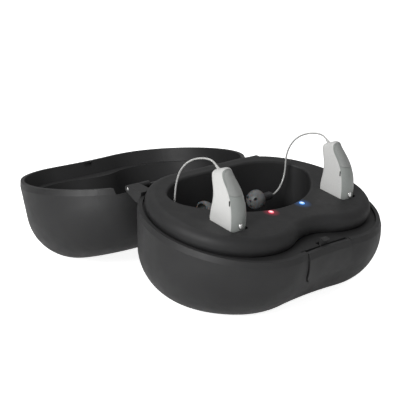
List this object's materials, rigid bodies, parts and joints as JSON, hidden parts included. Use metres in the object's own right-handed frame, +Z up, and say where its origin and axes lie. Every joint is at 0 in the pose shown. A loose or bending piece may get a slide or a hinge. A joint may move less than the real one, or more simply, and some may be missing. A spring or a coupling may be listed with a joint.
{
  "type": "hearing aid charger",
  "caption": "Kidney-shaped charging case with a hinged lid, an accessory bowl, a release panel and docked hearing aids with push buttons.",
  "frame": {"origin": "centre of the foot pad's underside, on the table", "axes": "+X to the charger's right end, +Y from the release panel to the opened lid, +Z up"},
  "size_m": [0.1178, 0.163, 0.0655],
  "materials": {
    "case": "soft-touch matte",
    "tray": "matte",
    "liner": "matte",
    "panel": "satin",
    "foot": "matte",
    "board": "satin",
    "metal": "satin",
    "gold": "polished",
    "red_light": "glossy",
    "blue_light": "glossy",
    "aid_silver": "satin",
    "aid_grey": "satin",
    "aid_light": "satin",
    "wire": "glossy",
    "receiver": "satin",
    "dome": "translucent matte"
  },
  "bodies": {
    "base": {"base_shell": "case", "insert_tray": "tray", "foot_pad": "foot", "main_board": "board", "power_inlet": "metal", "case_screws": "metal", "red_light_pipe": "red_light", "blue_light_pipe": "blue_light", "left_charge_contacts": "gold", "right_charge_contacts": "gold", "left_hinge_pin": "metal", "right_hinge_pin": "metal", "release_spring": "metal"},
    "release_button": {"release_button": "panel"},
    "lid": {"lid_shell": "case", "lid_liner": "liner"},
    "left_aid": {"left_aid_shell": "aid_silver", "left_aid_spine": "aid_grey", "left_aid_stud": "metal", "left_mic_screens": "receiver", "left_receiver_wire": "wire", "left_receiver": "receiver", "left_dome": "dome"},
    "left_aid_button": {"left_aid_button": "aid_light"},
    "right_aid": {"right_aid_shell": "aid_silver", "right_aid_spine": "aid_grey", "right_aid_stud": "metal", "right_mic_screens": "receiver", "right_receiver_wire": "wire", "right_receiver": "receiver", "right_dome": "dome"},
    "right_aid_button": {"right_aid_button": "aid_light"}
  },
  "joints": [
    {"name": "lid_hinge", "type": "hinge", "parent": "base", "child": "lid", "pos_m": [0, 0.04107, 0.04559], "axis": [-1, 0, 0], "range_deg": [-197.8, 0]},
    {"name": "release_slide", "type": "slide", "parent": "base", "child": "release_button", "axis": [0, 1, 0], "range_m": [0, 0.0015], "stiffness_N_per_m": 400, "deforming": ["release_spring"]},
    {"name": "left_aid_lift", "type": "slide", "parent": "base", "child": "left_aid", "axis": [0, 0, 1], "range_m": [0, 0.045]},
    {"name": "left_aid_press", "type": "slide", "parent": "left_aid", "child": "left_aid_button", "axis": [0, 0.9455, -0.3256], "range_m": [0, 0.00035], "stiffness_N_per_m": 600},
    {"name": "right_aid_lift", "type": "slide", "parent": "base", "child": "right_aid", "axis": [0, 0, 1], "range_m": [0, 0.045]},
    {"name": "right_aid_press", "type": "slide", "parent": "right_aid", "child": "right_aid_button", "axis": [0, 0.9455, -0.3256], "range_m": [0, 0.00035], "stiffness_N_per_m": 600}
  ]
}
